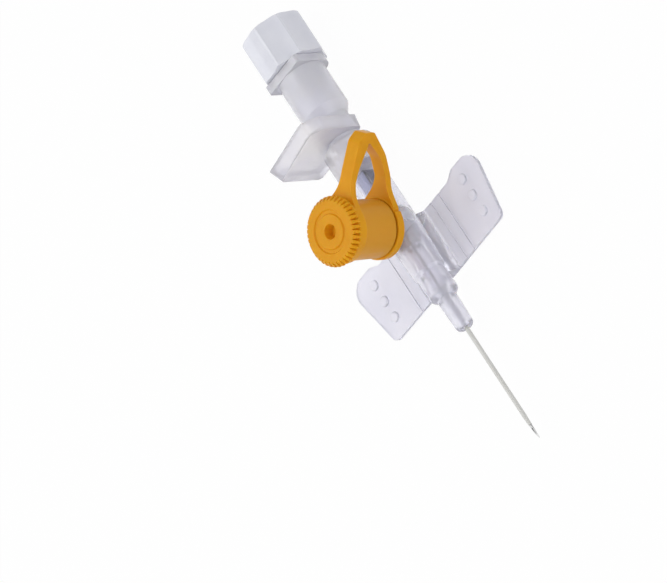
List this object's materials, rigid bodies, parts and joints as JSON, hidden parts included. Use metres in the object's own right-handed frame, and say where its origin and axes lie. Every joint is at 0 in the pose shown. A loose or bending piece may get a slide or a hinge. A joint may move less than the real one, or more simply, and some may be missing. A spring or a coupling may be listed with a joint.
{
  "type": "iv cannula",
  "caption": "Winged over-the-needle IV cannula with a capped injection port, a spring needle-tip clip, a flash chamber with thumb plate and a white vent plug.",
  "frame": {"origin": "on the needle's axis, in the plane of the hub nose's end, where the tube comes out", "axes": "+X along the needle towards its tip, +Z along the injection port away from the sole, +Y along the wings"},
  "size_m": [0.0802, 0.033, 0.0206],
  "materials": {
    "clear": "clear moulded plastic",
    "tube": "smooth translucent plastic",
    "steel": "bright drawn steel",
    "amber": "glossy amber moulded plastic",
    "valve": "matt silicone",
    "white": "glossy white moulded plastic",
    "filter": "porous white plastic"
  },
  "bodies": {
    "catheter_unit": {"catheter_hub": "clear", "catheter_tube": "tube", "catheter_bush": "steel", "port_valve": "valve"},
    "tether": {"cap_tether": "amber"},
    "cap": {"port_cap": "amber"},
    "clip": {"spring_clip": "steel"},
    "needle_unit": {"needle": "steel", "needle_hub": "clear"},
    "plug": {"vent_plug": "white", "vent_filter": "filter"}
  },
  "joints": [
    {"name": "cap_lift", "type": "slide", "parent": "catheter_unit", "child": "tether", "axis": [0, 0, 1], "range_m": [0, 0.012], "deforming": ["cap_tether"]},
    {"name": "cap_turn", "type": "hinge", "parent": "tether", "child": "cap", "pos_m": [-0.0199, 0, 0.012], "axis": [0, 0, 1], "continuous": true},
    {"name": "clip_release", "type": "slide", "parent": "catheter_unit", "child": "clip", "axis": [-1, 0, 0], "range_m": [0, 0.013]},
    {"name": "needle_draw", "type": "slide", "parent": "clip", "child": "needle_unit", "axis": [-1, 0, 0], "range_m": [0, 0.0444]},
    {"name": "plug_off", "type": "slide", "parent": "needle_unit", "child": "plug", "axis": [-1, 0, 0], "range_m": [0, 0.01]}
  ]
}
